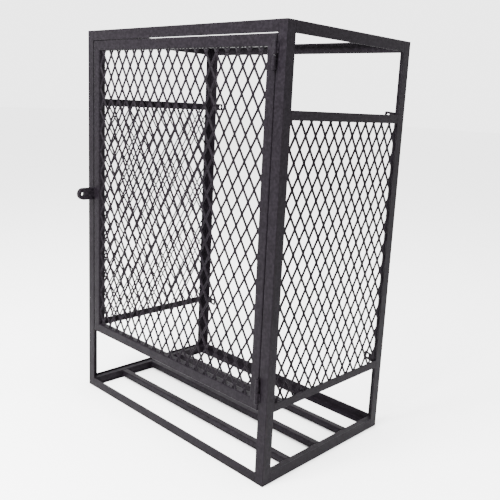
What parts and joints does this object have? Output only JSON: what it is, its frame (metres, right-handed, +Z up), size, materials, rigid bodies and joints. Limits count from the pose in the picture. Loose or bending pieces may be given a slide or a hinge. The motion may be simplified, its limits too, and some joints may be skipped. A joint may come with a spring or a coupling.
{
  "type": "lockable mesh cage",
  "caption": "Floor-standing open-top steel cage with expanded-metal sides, slatted base, open back with wall lugs, and a hinged mesh door with padlock lugs.",
  "frame": {"origin": "middle of the whole footprint, padlock lugs included, on the floor", "axes": "+X to the right seen from the front, +Y from the door towards the open back, +Z up"},
  "size_m": [0.715, 0.489, 1],
  "materials": {
    "frame_angle": "satin dark grey powder coat",
    "side_flat": "satin dark grey powder coat",
    "expanded_mesh": "satin dark grey powder coat over expanded steel",
    "base_tube": "satin dark grey powder coat",
    "wall_lug": "satin dark grey powder coat",
    "door_tube": "satin dark grey powder coat",
    "padlock_lug": "satin dark grey powder coat",
    "hinge_barrel": "satin dark grey powder coat, worn at the joint",
    "hinge_pin": "bare turned steel",
    "hinge_washer": "steel washer under the same dark coat, rubbed where it turns"
  },
  "bodies": {
    "frame": {"post_front_left": "frame_angle", "post_front_right": "frame_angle", "top_rail_front": "frame_angle", "base_rail_front": "frame_angle", "post_back_left": "frame_angle", "post_back_right": "frame_angle", "top_rail_back": "frame_angle", "base_rail_back": "frame_angle", "top_rail_left": "frame_angle", "base_rail_left": "frame_angle", "side_flat_upper_left": "side_flat", "side_flat_lower_left": "side_flat", "side_mesh_left": "expanded_mesh", "base_runner_left": "base_tube", "wall_lug_upper_left": "wall_lug", "wall_lug_lower_left": "wall_lug", "top_rail_right": "frame_angle", "base_rail_right": "frame_angle", "side_flat_upper_right": "side_flat", "side_flat_lower_right": "side_flat", "side_mesh_right": "expanded_mesh", "base_runner_right": "base_tube", "wall_lug_upper_right": "wall_lug", "wall_lug_lower_right": "wall_lug", "base_slat_1": "base_tube", "base_slat_2": "base_tube", "base_slat_3": "base_tube", "hinge_upper_frame_half": "hinge_barrel", "hinge_upper_pin": "hinge_pin", "hinge_upper_washer": "hinge_washer", "hinge_lower_frame_half": "hinge_barrel", "hinge_lower_pin": "hinge_pin", "hinge_lower_washer": "hinge_washer", "padlock_lug_frame": "padlock_lug"},
    "door": {"hinge_upper_door_half": "hinge_barrel", "hinge_lower_door_half": "hinge_barrel", "padlock_lug_door": "padlock_lug", "door_stile_left": "door_tube", "door_stile_right": "door_tube", "door_rail_top": "door_tube", "door_rail_bottom": "door_tube", "door_mesh": "expanded_mesh"}
  },
  "joints": [
    {"name": "door_swing", "type": "hinge", "parent": "frame", "child": "door", "pos_m": [0.33125, -0.2008, 0], "axis": [0, 0, 1], "range_deg": [0, 180]}
  ]
}
